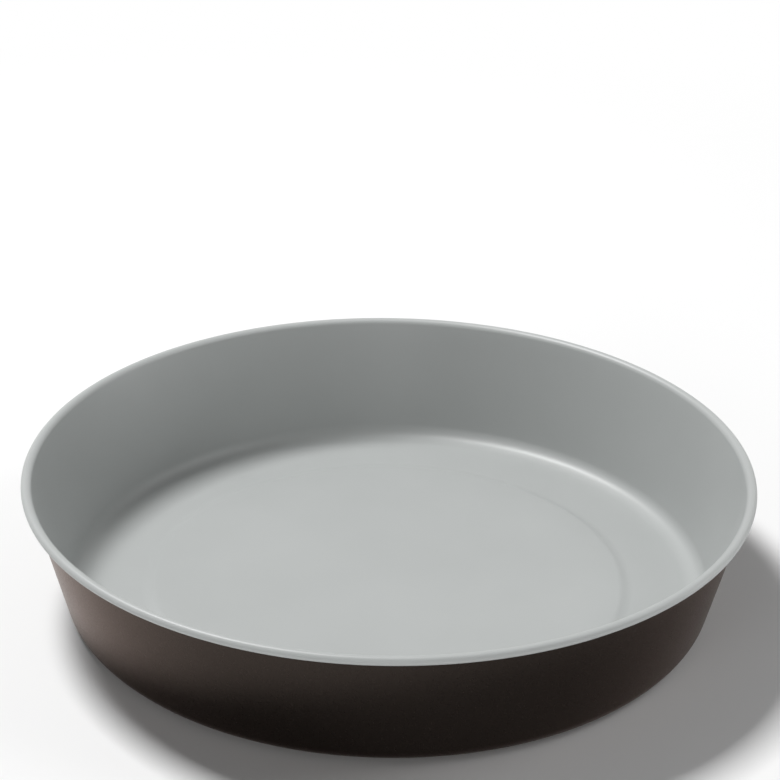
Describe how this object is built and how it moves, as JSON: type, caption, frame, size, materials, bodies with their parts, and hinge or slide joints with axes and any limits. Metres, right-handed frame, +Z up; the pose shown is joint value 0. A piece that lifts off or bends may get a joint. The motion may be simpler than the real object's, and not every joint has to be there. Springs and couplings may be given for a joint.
{
  "type": "round cake tin",
  "caption": "Round tapered cake tin of pressed steel with a rolled rim, a raised centre panel in the floor, a grey non-stick inside and a dark brown outside.",
  "frame": {"origin": "centre of the base, on the plane that the tin stands on", "axes": "+Z up along the tin's axis, through the middle of its mouth; +X and +Y in the resting plane, alike because the tin is round"},
  "size_m": [0.28, 0.28, 0.0522],
  "materials": {
    "steel_sheet": "satin",
    "grey_non_stick": "satin",
    "dark_brown_coat": "satin"
  },
  "bodies": {
    "root": {"pressed_steel_body": "steel_sheet", "inner_coating": "grey_non_stick", "outer_coating": "dark_brown_coat"}
  },
  "joints": []
}
